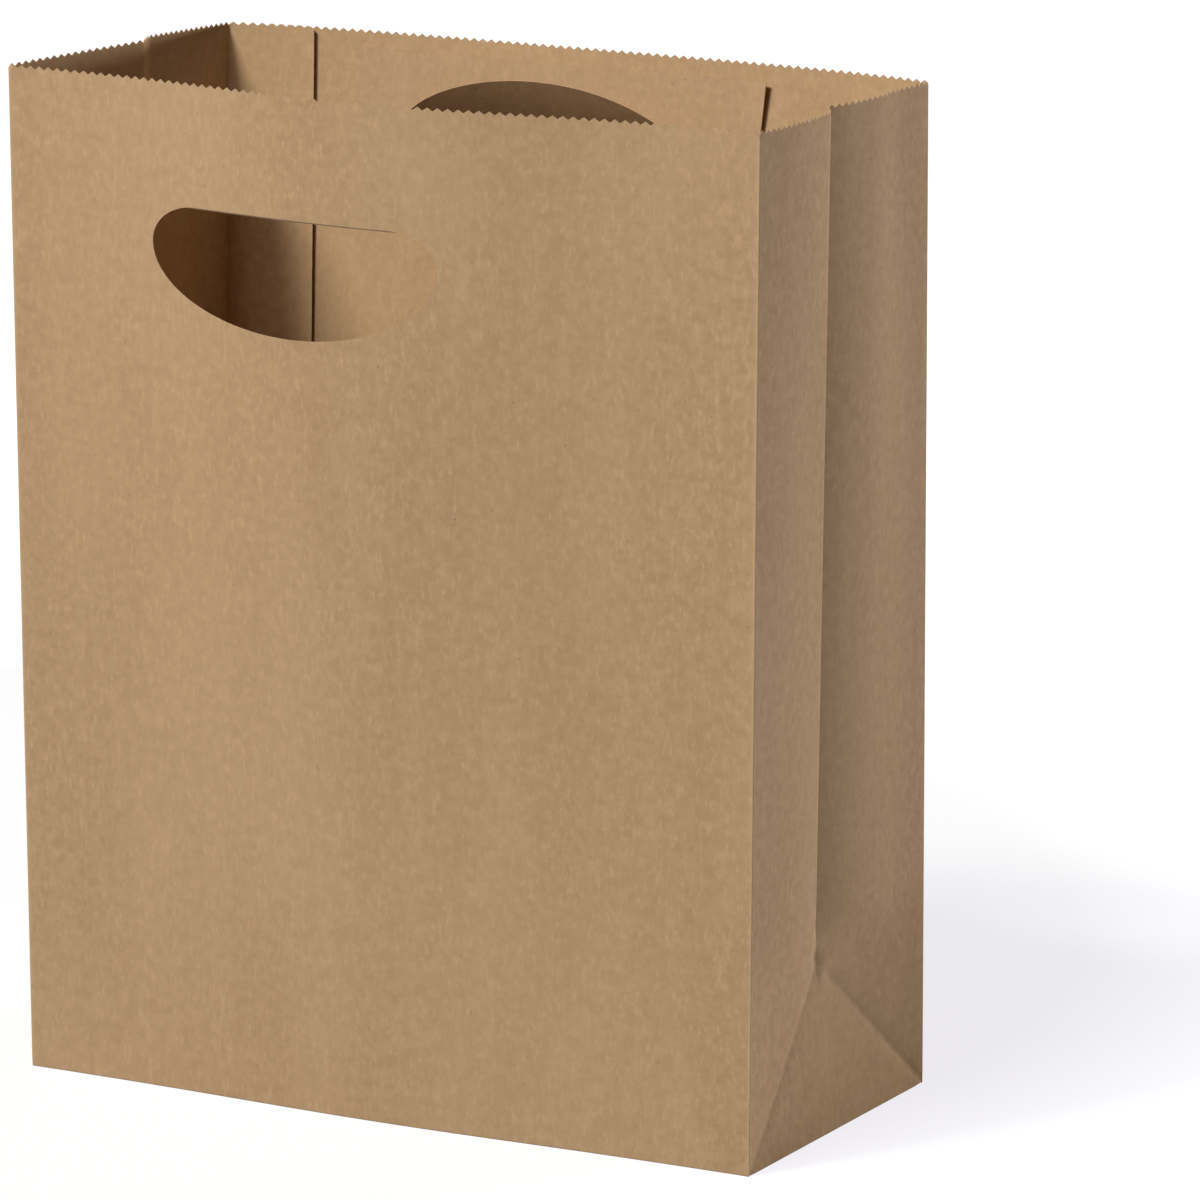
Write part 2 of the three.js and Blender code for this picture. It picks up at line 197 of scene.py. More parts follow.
# Patches. The curl and the slanting end are on the back one, each at its foot and at its top.
PATCH_WIDTH = 126.0
PATCH_HEIGHT = 26.0
PATCH_DROP = 5.0
PATCH_STAND_OFF = 0.3
PATCH_CURL_RUN = 14.0
PATCH_CURL = (0.3, 1.2)
PATCH_END_SLANT = (-1.2, 2.3)
PATCH_PLAIN = (0.0, 0.0)

# Block bottom
BACK_FLAP_REACH = 62.0
FRONT_FLAP_REACH = 58.0
PLY_GAP = 0.02

# The blank, from the seam's lip to the free edge of the back panel
LEFT_START = 0.0
FRONT_START = LEFT_START + DEPTH
RIGHT_START = FRONT_START + WIDTH
BACK_START = RIGHT_START + DEPTH
BLANK_END = BACK_START + WIDTH
FOLDS = (LEFT_START, FRONT_START, RIGHT_START, BACK_START)
GUSSET_STARTS = (LEFT_START, RIGHT_START)
CREASES = (LEFT_START + DEPTH / 2, RIGHT_START + DEPTH / 2)
LIMITS = (-SEAM_WIDTH, LEFT_START, CREASES[0], FRONT_START, RIGHT_START, CREASES[1], BACK_START, BLANK_END)

# Fineness of the meshes: steps, and distances of the rows and columns beside a fold
COLUMN_STEP = 3.0
ROW_STEP = 3.5
FLAP_STEP = 2.2
FLAP_FOLD_STEP = 0.25
FLAP_FOLD_ROWS = 7
CLEAR_OF_CUTS = 0.9
FOLD_COLUMNS = (0.0, 0.25, 0.5, 0.9, 1.6)
RIDGE_COLUMNS = (-1.9, -1.26, -0.6, 0.0, 0.6, 1.26, 1.9)
FOLD_ROWS = (0.0, 0.15, 0.35, 0.6, 1.2)
PINCH_ROWS = (0.0, 1.1, 2.3)
GROOVE_ROWS = (-2.6, -1.3, 0.0, 1.3, 2.6)
GROOVE_STEPS = 30
GROOVE_END_STEPS = 2
CURVE_STEPS = 28
MERGE_WITHIN = 1e-5
SHARP_ANGLE = math.radians(55)

# Places of the materials on a sheet, after that of its outer face
INNER_SLOT = 1
EDGE_SLOT = 2

# Colours of the paper
OUTER_FACE = Paper(
    tone=(177, 146, 105),
    shade=(166, 135, 96),
    light=(193, 162, 119),
    speck=(112, 84, 58),
)
# The inner face is painted lighter than the outer one. This is painted light, so that the inside of the bag
# looks as lit as the outside.
INNER_FACE_PAINTED_LIGHTER = Paper(
    tone=(199, 166, 126),
    shade=(188, 155, 116),
    light=(210, 178, 137),
    speck=(124, 96, 66),
)
CUT_EDGE = Paper(
    tone=(186, 154, 118),
    shade=(172, 140, 106),
    light=(200, 170, 134),
    speck=(120, 92, 66),
)
# The patches are painted lighter than the outer face. This is painted light, as they are seen inside the
# bag.
PATCH_FACE_PAINTED_LIGHTER = Paper(
    tone=(197, 165, 128),
    shade=(187, 155, 119),
    light=(207, 176, 139),
    speck=(124, 96, 68),
)

# Patterns in the paper
MOTTLE = Pattern(330, 4.0, 0.6, limits=(0.35, 0.65))
UPRIGHT_FIBRES = Pattern(900, 2.0, 0.6, limits=(0.52, 0.75), most=0.62, stretch=(1, 1, 0.35))
LEVEL_FIBRES = Pattern(900, 2.0, 0.6, limits=(0.54, 0.78), most=0.55, stretch=(0.35, 0.35, 1))
STREAKS = Pattern(240, 2.0, 0.5, limits=(0.5, 0.75), most=0.32, stretch=(1, 1, 0.03))
BANDS = Pattern(30, 2.0, 0.5, limits=(0.36, 0.64), most=0.27, stretch=(1, 1, 0.22), shift=(2.8, 0.0, 1.2))
SPECKS = Pattern(620, 1.0, 0.4, limits=(0.78, 0.84), most=0.5)
GRAIN = Pattern(700, 3.0, 0.6)

# Finish of the paper
# How pale those folds are painted: partly rubbed wear, partly painted light
RUBBED_AND_PAINTED_LIGHT_TINT = 0.75
ROUGHNESS_LIMITS = (0.3, 0.7)
ROUGHNESS = (0.92, 0.8)
SPECULAR = 0.12
BUMP_STRENGTH = 0.22
BUMP_DISTANCE = 0.00012

# Sockets of the mix node that take and give colours
MIX_FACTOR = 0
MIX_FIRST = 6
MIX_SECOND = 7
MIX_RESULT = 2

# Floor. The first colour sheds light on the bag, and the second is the one that is seen.
# What is seen also glows, at the lift near the bag and fully further off, so that its shadow fades.
FLOOR_SIZE = 12.0
FLOOR_COLOR = (0.58, 0.61, 0.86, 1)
FLOOR_SHOWN = (0.223, 0.233, 0.182, 1)
FLOOR_GLOW = (0.951, 0.939, 1.0, 1)
FLOOR_LIFT = 0.827
FLOOR_FADE = (0.325, 0.41)
FADE_AROUND = (-0.214, 0.086, 0.0)
FLOOR_ROUGHNESS = 0.9
FLOOR_SPECULAR = 0.0

# Lights, which all aim at one place
WARM_WHITE = (1.0, 0.98, 0.95)
ROSE_WHITE = (1.0, 0.98, 0.98)
LAMPS = (
    Lamp("key", power=152.0, color=WARM_WHITE, size=(0.95, 0.5), left=30.0, up=49.0, away=4.0),
    Lamp("front", power=34.0, color=WARM_WHITE, size=(1.1, 1.1), left=14.0, up=47.0, away=4.0),
    Lamp("fill", power=50.0, color=ROSE_WHITE, size=(1.4, 0.3), left=-148.0, up=4.2, away=2.6),
)
LAMP_AIM = Vector((0.0, 0.0, 0.14))
SKY_COLOR = (1, 1, 1, 1)
AMBIENT = 0.03

# Camera, in degrees to the right of the front and up, and in metres
EYE_RIGHT = 28.2
EYE_UP = 12.3
EYE_ROLL = 0.25
EYE_DISTANCE = 2.122
EYE_TARGET = Vector((0.0383, 0.0, 0.1385))
LENS = 234.9
SENSOR_WIDTH = 36.0


# Numbers


def lerp(a, b, t):
    return a + (b - a) * t


def between(pair, t):
    return lerp(pair[0], pair[1], t)


def clamp(value):
    return min(1.0, max(0.0, value))


def smooth(value):
    value = clamp(value)
    return value * value * (3 - 2 * value)


def rounded(path, bend, reach, at):
    """A path with its bend rounded off over a reach to either side."""
    w = (at - bend + reach) / (2 * reach)
    return path(bend - reach) * (1 - w) ** 2 + path(bend) * 2 * w * (1 - w) + path(bend + reach) * w ** 2


# Wide panels


def corner_at(corner, z):
    rise = z / HEIGHT
    x = corner.side * WIDTH / 2 + corner.lean[0] * rise
    y = corner.end * DEPTH / 2 + corner.lean[1] * rise
    return Vector((x, y))


def tuck_under(z):
    """How far the fold at the base has turned in, at a height."""
    if z >= FOLD_RADIUS:
        return 0.0
    return FOLD_RADIUS - math.sqrt(max(0.0, FOLD_RADIUS ** 2 - (FOLD_RADIUS - z) ** 2))


def on_chord(first, last, t, stand, z):
    """A place along the line from one corner to another, standing off it outward."""
    start = corner_at(first, z)
    end = corner_at(last, z)
    along = (end - start).normalized()
    out = Vector((along.y, -along.x))
    flat = start.lerp(end, t) + out * (stand - tuck_under(z))
    return Vector((flat.x, flat.y, z))


def ripple(t, z, size, seed):
    """A slight wave of a wide panel, which dies away towards its edges."""
    calm = math.sin(math.pi * clamp(t)) * math.sin(math.pi * clamp(z / HEIGHT)) ** RIPPLE_CALM_POWER
    place = Vector((t * WIDTH / size, z / (RIPPLE_STRETCH * size), seed))
    return RIPPLE_HEIGHT * calm * noise.noise(place)


def front_point(t, z):
    bulge = between(FRONT_BULGE, z / HEIGHT) * math.sin(math.pi * t) ** FRONT_BULGE_POWER
    wave = ripple(t, z, FRONT_RIPPLE_SIZE, FRONT_RIPPLE_SEED)
    return on_chord(FRONT_LEFT, FRONT_RIGHT, t, bulge + wave, z)


def back_point(t, z):
    bulge = between(BACK_BULGE, z / HEIGHT) * (1 - (2 * t - 1) ** BACK_BULGE_POWER)
    wave = ripple(t, z, BACK_RIPPLE_SIZE, BACK_RIPPLE_SEED)
    return on_chord(BACK_RIGHT, BACK_LEFT, t, bulge + wave, z)


def lap_point(d, z):
    """The seam's lap, inside the back panel, at a distance from the corner."""
    loose = max(0.0, d - SEAM_GLUED) / (SEAM_WIDTH - SEAM_GLUED)
    off = PAPER + SEAM_GLUE + SEAM_LIP * loose ** 2
    point = back_point(1 - d / WIDTH, z)
    return point - Vector((0, off, 0))


# Gussets


def climbed(z):
    """How far up from the crease's foot to the mouth a height is, from 0 to 1."""
    return clamp((z - CREASE_FOOT) / (HEIGHT - CREASE_FOOT))


def gusset_profile(t, share, ridge, crease, crown, dip, hollow):
    """How far across the gusset a point of the sheet stands, and how far out, above the crease's foot."""
    if t >= 0.5:
        rest = 2 * (1 - t)
        slack = dip * math.sin(math.pi * clamp(rest / DIP_REACH)) ** 2
        return (1 - (1 - crease[0]) * rest, crease[1] * rest ** hollow - slack)

    def bent(at):
        if at < share:
            gone = at / share
            return Vector((ridge[0] * gone, ridge[1] * gone + crown * math.sin(math.pi * gone)))
        return Vector(ridge).lerp(Vector(crease), (at - share) / (0.5 - share))

    if abs(t - share) < RIDGE_ROUND:
        return tuple(rounded(bent, share, RIDGE_ROUND, t))
    return tuple(bent(t))


def from_base_fold(t, z):
    """How far a point of a gusset is from the folds between the base's corners and the crease's foot."""
    if z > CREASE_FOOT:
        return math.hypot((t - 0.5) * DEPTH, z - CREASE_FOOT)
    run = min(t, 1 - t) * DEPTH
    slope = CREASE_FOOT / (DEPTH / 2)
    return abs(run * slope - z) / math.hypot(1, slope)


def near_foot(t, z, place):
    """1 at a place beside the crease's foot, falling to 0 round it."""
    away = math.hypot((t - 0.5) * DEPTH - place[0], z - CREASE_FOOT - place[1])
    return math.exp(-(away / PINCH_REACH) ** 2)


def creased(t, z):
    """How far the pinch and the grooves make a point of a gusset stand out."""
    groove = GROOVE * clamp(1 - from_base_fold(t, z) / GROOVE_REACH)
    return PINCH * (near_foot(t, z, PINCH_SWELLING) - near_foot(t, z, PINCH_HOLLOW)) - groove


def gusset_point(first, last, t, z, gusset):
    """Above the crease's foot two halves meet in a valley. Below it a flat triangle leans in."""
    up = climbed(z)
    share = between(RIDGE_SHARE, up)
    ridge = (between(gusset.ridge_place, up), between(gusset.ridge_off, up))
    crease = (between(gusset.crease_place, up), between(gusset.crease_off, up))
    crown = between(gusset.crown, up)
    dip = between(gusset.dip, up)
    half = min(2 * t, 2 * (1 - t))
    apex = lerp(0.5, APEX_PLACE, clamp(z / CREASE_FOOT))
    level = lerp(0.0, apex, 2 * t) if t < 0.5 else lerp(apex, 1.0, 2 * t - 1)
    plain = crease[1] * min(z / CREASE_FOOT, half)
    settled = smooth((z - CREASE_FOOT) / SETTLE)
    across, off = gusset_profile(t, share, ridge, crease, crown, dip, gusset.hollow)
    stand = lerp(plain, off, settled) + creased(t, z)
    return on_chord(first, last, lerp(level, across, settled), stand, z)


def left_point(t, z):
    return gusset_point(BACK_LEFT, FRONT_LEFT, t, z, LEFT_GUSSET)


def right_point(t, z):
    return gusset_point(FRONT_RIGHT, BACK_RIGHT, t, z, RIGHT_GUSSET)


# The blank and the folded bag


def sharp_point(u, z):
    """Where a point of the blank goes, with sharp folds at the corners."""
    if u < LEFT_START:
        return lap_point(LEFT_START - u, z)
    if u < FRONT_START:
        point = left_point((u - LEFT_START) / DEPTH, z)
        share = 1 - (u - LEFT_START) / DEPTH
        return point - Vector((0, (PAPER + SEAM_GLUE) * share, 0))
    if u < RIGHT_START:
        return front_point((u - FRONT_START) / WIDTH, z)
    if u < BACK_START:
        return right_point((u - RIGHT_START) / DEPTH, z)
    return back_point((u - BACK_START) / WIDTH, z)


def folded(u, z):
    """The same, with each corner rounded to the fold's radius."""
    for fold in FOLDS:
        if abs(u - fold) < FOLD_RADIUS:
            return rounded(lambda at: sharp_point(at, z), fold, FOLD_RADIUS, u)
    return sharp_point(u, z)


def front_blank(x, z):
    """The point of the blank that lies at a place along the front panel."""
    start = corner_at(FRONT_LEFT, z).x
    end = corner_at(FRONT_RIGHT, z).x
    return (FRONT_START + WIDTH * (x - start) / (end - start), z)


def back_blank(x, z):
    """The point of the blank that lies at a place along the back panel."""
    start = corner_at(BACK_RIGHT, z).x
    end = corner_at(BACK_LEFT, z).x
    return (BACK_START + WIDTH * (x - start) / (end - start), z)


def panel_point(towards, x, z):
    """The outside of the front or back panel, at a place along X."""
    if towards == FRONT:
        return front_point((front_blank(x, z)[0] - FRONT_START) / WIDTH, z)
    return back_point((back_blank(x, z)[0] - BACK_START) / WIDTH, z)


def handle_x(towards):
    return FRONT_HANDLE_X if towards == FRONT else BACK_HANDLE_X


# Outlines on the flat


def arc(centre_x, centre_z, run, rise, start, end, steps):
    points = []
    for k in range(steps + 1):
        angle = math.radians(lerp(start, end, k / steps))
        points.append((centre_x + run * math.cos(angle), centre_z + rise * math.sin(angle)))
    return points


def handle_outline(x, top):
    """The hand hole, clockwise from its top right: a round corner, half an ellipse, a corner, a flat top."""
    half = HANDLE_WIDTH / 2
    run = HANDLE_CORNER_RUN
    fall = HANDLE_CORNER_FALL
    waist = top - fall
    bowl = HANDLE_HEIGHT - fall
    flat = half - run
    right = arc(x + flat, waist, run, fall, 90, 0, CURVE_STEPS // 2)
    bottom = arc(x, waist, half, bowl, 0, -180, 2 * CURVE_STEPS)
    left = arc(x - flat, waist, run, fall, 180, 90, CURVE_STEPS // 2)
    flats = [(lerp(x - flat, x + flat, k / CURVE_STEPS), top) for k in range(1, CURVE_STEPS)]
    return right + bottom[1:] + left[1:] + flats


def pinked(start, end, top):
    """A zigzag edge from start to end, with its tips at the top."""
    count = max(1, round((end - start) / TOOTH_PITCH))
    points = []
    for k in range(count):
        points.append((lerp(start, end, k / count), top - TOOTH_DEPTH))
        points.append((lerp(start, end, (k + 0.5) / count), top))
    points.append((end, top - TOOTH_DEPTH))
    return points


def spaced(start, end, step, close=(0.0,)):
    """Places from start up to end, close together at both ends."""
    near = [start + c for c in close]
    far = [end - c for c in reversed(close)]
    first, last = near[-1], far[0]
    count = max(1, round((last - first) / step))
    middle = [lerp(first, last, k / count) for k in range(1, count)]
    return near + middle + far


def inside_outline(point, outline):
    hit = False
    x, z = point
    for (ax, az), (bx, bz) in zip(outline, outline[1:] + outline[:1]):
        if (az > z) != (bz > z) and x < ax + (bx - ax) * (z - az) / (bz - az):
            hit = not hit
    return hit


def clear_of(point, outline):
    """Whether a point lies far enough from the points of an outline."""
    return all((point[0] - x) ** 2 + (point[1] - z) ** 2 > CLEAR_OF_CUTS ** 2 for x, z in outline)


def triangulate(loops, lines, points):
    """Triangles inside the first loop and outside the others, along the lines and through the points."""
    flat = []
    edges = []
    for loop in loops:
        first = len(flat)
        flat.extend(loop)
        edges.extend((first + k, first + (k + 1) % len(loop)) for k in range(len(loop)))
    for line in lines:
        first = len(flat)
        flat.extend(line)
        edges.extend((first + k, first + k + 1) for k in range(len(line) - 1))
    flat.extend(points)
    coords = [Vector(p) for p in flat]
    inside_only = 1
    verts, _, faces, *_ = geometry.delaunay_2d_cdt(coords, edges, [], inside_only, MERGE_WITHIN)
    kept = []
    for face in faces:
        middle = sum((verts[k] for k in face), Vector((0, 0))) / len(face)
        if inside_outline(middle, loops[0]) and not any(inside_outline(middle, hole) for hole in loops[1:]):
            kept.append(tuple(face))
    return [tuple(v) for v in verts], kept


# Meshes


class Sheet:
    """Gathers flat pieces of paper, each with its place in the blank, into one mesh."""

    def __init__(self):
        self.points = []
        self.faces = []
        self.flat = []
        self.folds = []

    def add(self, flat, faces, place, fold=lambda u, z: 0.0):
        first = len(self.points)
        for u, z in flat:
            self.points.append(place(u, z) * MM)
            self.flat.append((u * MM, z * MM))
            self.folds.append(fold(u, z))
        self.faces.extend(tuple(first + k for k in face) for face in faces)

    def build(self, name, materials):
        mesh = bpy.data.meshes.new(name)
        mesh.from_pydata([tuple(p) for p in self.points], [], self.faces)
        # The fold attribute holds how pale each point is painted: rubbed wear and painted light on the folds
        # by the front panel
        attribute = mesh.attributes.new("fold", "FLOAT", "POINT")
        attribute.data.foreach_set("value", self.folds)
        layer = mesh.uv_layers.new(name="blank")
        for loop in mesh.loops:
            layer.data[loop.index].uv = self.flat[loop.vertex_index]
        mesh.polygons.foreach_set("use_smooth", [True] * len(mesh.polygons))
        for material in materials:
            mesh.materials.append(material)
        piece = bpy.data.objects.new(name, mesh)
        bpy.context.scene.collection.objects.link(piece)
        thicken(piece)
        return piece


def thicken(piece):
    """Gives a sheet the paper's thickness, on the inside, with sharp cut edges."""
    solidify = piece.modifiers.new("thickness", "SOLIDIFY")
    solidify.thickness = PAPER * MM
    solidify.offset = -1.0
    solidify.use_even_offset = True
    solidify.material_offset = INNER_SLOT
    solidify.material_offset_rim = EDGE_SLOT
    depsgraph = bpy.context.evaluated_depsgraph_get()
    solid = bpy.data.meshes.new_from_object(piece.evaluated_get(depsgraph))
    piece.modifiers.clear()
    piece.data = solid
    solid.set_sharp_from_angle(angle=SHARP_ANGLE)


def turned_over(faces):
    return [face[::-1] for face in faces]


# Walls


def rubbed_and_painted_light_fold(u, z):
    """1 on the two folds beside the front panel, painted pale, fading to 0 beside them. The pale is partly
    rubbed wear and partly painted light, which the rounded folds miss from the lamps.
    """
    distance = min(abs(u - FRONT_START), abs(u - RIGHT_START))
    return clamp(1 - distance / RUBBED_AND_PAINTED_LIGHT_REACH)


def blank_columns():
    columns = [LIMITS[0]]
    for start, end in zip(LIMITS, LIMITS[1:]):
        columns.extend(spaced(start, end, COLUMN_STEP, FOLD_COLUMNS)[1:])
    return columns


def blank_rows():
    rows = list(FOLD_ROWS)
    rows.extend(spaced(FOLD_ROWS[-1], CREASE_FOOT, ROW_STEP, PINCH_ROWS)[1:])
    rows.extend(spaced(CREASE_FOOT, HEIGHT - 2 * TOOTH_DEPTH, ROW_STEP, PINCH_ROWS)[1:])
    return rows


def blank_outline(columns, rows):
    """The edge of the blank: the base, the free edge, the pinked rim and the seam's lip."""
    rim = []
    for start, end in zip(LIMITS, LIMITS[1:]):
        rim.extend(pinked(start, end, HEIGHT)[:-1])
    rim.append((BLANK_END, HEIGHT - TOOTH_DEPTH))
    base = [(u, 0.0) for u in columns]
    free_edge = [(BLANK_END, z) for z in rows[1:]]
    lip = [(-SEAM_WIDTH, z) for z in rows[1:]]
    return base + free_edge + rim[::-1] + lip[::-1]


def base_folds():
    """Lines of the blank along the folds from the base's corners to the creases' feet, close together."""
    shares = [k / GROOVE_STEPS for k in range(GROOVE_END_STEPS, GROOVE_STEPS + 1 - GROOVE_END_STEPS)]
    lines = []
    for start in GUSSET_STARTS:
        crease = start + DEPTH / 2
        for foot in (start, start + DEPTH):
            for beside in GROOVE_ROWS:
                lines.append([(lerp(foot, crease, k), lerp(0, CREASE_FOOT, k) + beside) for k in shares])
    return lines


def ridge_at(start, z):
    """Where the ridge of a gusset runs on the blank."""
    return start + DEPTH * between(RIDGE_SHARE, climbed(z))


def ridge_lines(rows):
    """Lines of the blank along the two ridges, close together."""
    heights = [z for z in rows if z > CREASE_FOOT]
    lines = []
    for start in GUSSET_STARTS:
        for beside in RIDGE_COLUMNS:
            lines.append([(ridge_at(start, z) + beside, z) for z in heights])
    return lines


def by_ridge(u, z):
    """Whether a point of the blank is among the lines along a ridge."""
    reach = RIDGE_COLUMNS[-1] + CLEAR_OF_CUTS
    return z > CREASE_FOOT and any(abs(u - ridge_at(start, z)) < reach for start in GUSSET_STARTS)


def wall_grid(columns, rows, holes, diagonals):
    """Points inside the blank, clear of the hand holes and of the lines along its folds and ridges."""
    taken = [point for line in diagonals for point in line]
    grid = []
    for u in columns[1:-1]:
        for z in rows[1:]:
            point = (u, z)
            if any(inside_outline(point, hole) or not clear_of(point, hole) for hole in holes):
                continue
            if z < CREASE_FOOT + GROOVE_ROWS[-1] and not clear_of(point, taken):
                continue
            if by_ridge(u, z) and u not in CREASES:
                continue
            grid.append(point)
    return grid


def wall_sheet(sheet):
    """The four panels and the seam's lap, with the hand holes cut out."""
    columns = blank_columns()
    rows = blank_rows()
    holes = [[front_blank(x, z) for x, z in handle_outline(FRONT_HANDLE_X, HINGE_Z)],
             [back_blank(x, z) for x, z in handle_outline(BACK_HANDLE_X, HINGE_Z)]]
    diagonals = base_folds()
    loops = [blank_outline(columns, rows), *holes]
    grid = wall_grid(columns, rows, holes, diagonals)
    flat, faces = triangulate(loops, diagonals + ridge_lines(rows), grid)
    sheet.add(flat, faces, folded, rubbed_and_painted_light_fold)


# Flaps, bottom and patches


def flap_sheet(sheet, towards):
    """The cut-out of a hand hole, folded in and up about the flat top of the hole, with a curved edge.

    Its points lie along the fold and round the edge, and it is straight from the one to the other.
    """
    x = handle_x(towards)
    outline = handle_outline(x, 0.0)
    columns = spaced(x - HANDLE_WIDTH / 2, x + HANDLE_WIDTH / 2, FLAP_STEP)
    rows = [-FLAP_FOLD_STEP * k for k in range(1, FLAP_FOLD_ROWS + 1)]
    grid = [(u, z) for u in columns for z in rows]
    grid = [point for point in grid if inside_outline(point, outline) and clear_of(point, outline)]
    flat, faces = triangulate([outline], [], grid)
    turn = math.pi - FLAP_ROOT_LEAN
    bend = FLAP_FOLD_RADIUS * turn
    curl = (FLAP_TIP_LEAN - FLAP_ROOT_LEAN) / (HANDLE_HEIGHT - bend)

    def place(u, z):
        reach = -z
        root = panel_point(towards, u, HINGE_Z)
        angle = min(reach / FLAP_FOLD_RADIUS, turn)
        inward = FLAP_FOLD_RADIUS * (1 - math.cos(angle))
        up = -FLAP_FOLD_RADIUS * math.sin(angle)
        lean = FLAP_ROOT_LEAN + curl * max(0.0, reach - bend)
        inward += (math.cos(FLAP_ROOT_LEAN) - math.cos(lean)) / curl
        up += (math.sin(lean) - math.sin(FLAP_ROOT_LEAN)) / curl
        return root + Vector((0, -towards * inward, up))

    if towards == BACK:
        faces = turned_over(faces)
    sheet.add(flat, faces, place)


def base_plate(sheet, outline, level):
    """A flat ply of the block bottom, with its outer face at a level."""
    flat, faces = triangulate([outline], [], [])
    sheet.add(flat, turned_over(faces), lambda u, z: Vector((u, z, level)))


def foot_line(start, end, place):
    """The line along which a wide panel meets the base, from one corner to the other."""
    inner = [place(k / CURVE_STEPS, 0.0) for k in range(1, CURVE_STEPS)]
    return [start, *[(point.x, point.y) for point in inner], end]


def base_sheet(sheet):
    """The plies of the block bottom, from the outermost up."""
    x = WIDTH / 2 - FOLD_RADIUS
    y = DEPTH / 2 - FOLD_RADIUS
    ply = PAPER + PLY_GAP
    front_foot = foot_line((-x, -y), (x, -y), front_point)
    back_foot = foot_line((x, y), (-x, y), back_point)
    back_reach = y - BACK_FLAP_REACH
    front_reach = FRONT_FLAP_REACH - y
    back_end = x - BACK_FLAP_REACH
    front_end = x - FRONT_FLAP_REACH
    base_plate(sheet, [(-back_end, back_reach), (back_end, back_reach), *back_foot], 0.0)
    base_plate(sheet, [(front_end, front_reach), (-front_end, front_reach), *front_foot], ply)
    for side in (-1, 1):
        base_plate(sheet, [(side * x, -y), (side * x, y), (side * (x - y), 0.0)][::side], 2 * ply)
    base_plate(sheet, front_foot + back_foot, 3 * ply)


def patch_sheet(towards):
    """The strip inside a wide panel, above its hand hole."""
    sheet = Sheet()
    x = handle_x(towards)
    top = HEIGHT - PATCH_DROP
    foot = top - PATCH_HEIGHT
    left = x - PATCH_WIDTH / 2
    right = x + PATCH_WIDTH / 2
    columns = spaced(left, right, COLUMN_STEP)
    rows = spaced(foot, top, ROW_STEP)
    edge = [(u, foot) for u in columns] + [(right, z) for z in rows[1:]]
    edge += [(u, top) for u in columns[::-1][1:]] + [(left, z) for z in rows[::-1][1:-1]]
    grid = [(u, z) for u in columns[1:-1] for z in rows[1:-1]]
    flat, faces = triangulate([edge], [], grid)
    curl = PATCH_CURL if towards == BACK else PATCH_PLAIN
    slant = PATCH_END_SLANT if towards == BACK else PATCH_PLAIN

    def place(u, z):
        rise = (z - foot) / PATCH_HEIGHT
        wall = panel_point(towards, u + between(slant, rise) * (u - left) / PATCH_WIDTH, z)
        loose = max(0.0, u - right + PATCH_CURL_RUN) / PATCH_CURL_RUN
        off = PAPER + PATCH_STAND_OFF + between(curl, rise) * loose ** 2
        return wall - Vector((0, towards * off, 0))

    if towards == BACK:
        faces = turned_over(faces)
    sheet.add(flat, faces, place)
    return sheet


# Materials


def linear(red, green, blue):
    """A colour as seen on screen, 0 to 255, as scene-linear values."""
    def channel(value):
        value /= 255
        return value / 12.92 if value <= 0.04045 else ((value + 0.055) / 1.055) ** 2.4
    return (channel(red), channel(green), channel(blue), 1.0)


class Nodes:
    """Short calls for building a node tree."""

    def __init__(self, tree):
        self.tree = tree

    def add(self, kind, **values):
        node = self.tree.nodes.new(kind)
        for key, value in values.items():
            setattr(node, key, value)
        return node

    def link(self, source, target):
        self.tree.links.new(source, target)

    def noise(self, vector, pattern):
        mapping = self.add("ShaderNodeMapping")
        mapping.inputs["Scale"].default_value = pattern.stretch
        mapping.inputs["Location"].default_value = pattern.shift
        self.link(vector, mapping.inputs["Vector"])
        texture = self.add("ShaderNodeTexNoise")
        texture.inputs["Scale"].default_value = pattern.scale
        texture.inputs["Detail"].default_value = pattern.detail
        texture.inputs["Roughness"].default_value = pattern.roughness
        self.link(mapping.outputs["Vector"], texture.inputs["Vector"])
        return texture.outputs["Fac"]

    def ramp(self, value, limits, results):
        """A value between two limits, as one between two results."""
        node = self.add("ShaderNodeMapRange")
        node.inputs["From Min"].default_value = limits[0]
        node.inputs["From Max"].default_value = limits[1]
        node.inputs["To Min"].default_value = results[0]
        node.inputs["To Max"].default_value = results[1]
        self.link(value, node.inputs["Value"])
        return node.outputs["Result"]

    def blend(self, factor, first, second):
        """Two colours mixed. Each value is a number, a colour or a socket."""
        node = self.add("ShaderNodeMix", data_type="RGBA", blend_type="MIX")
        for value, place in ((factor, MIX_FACTOR), (first, MIX_FIRST), (second, MIX_SECOND)):
            if isinstance(value, bpy.types.NodeSocket):
                self.link(value, node.inputs[place])
            else:
                node.inputs[place].default_value = value
        return node.outputs[MIX_RESULT]


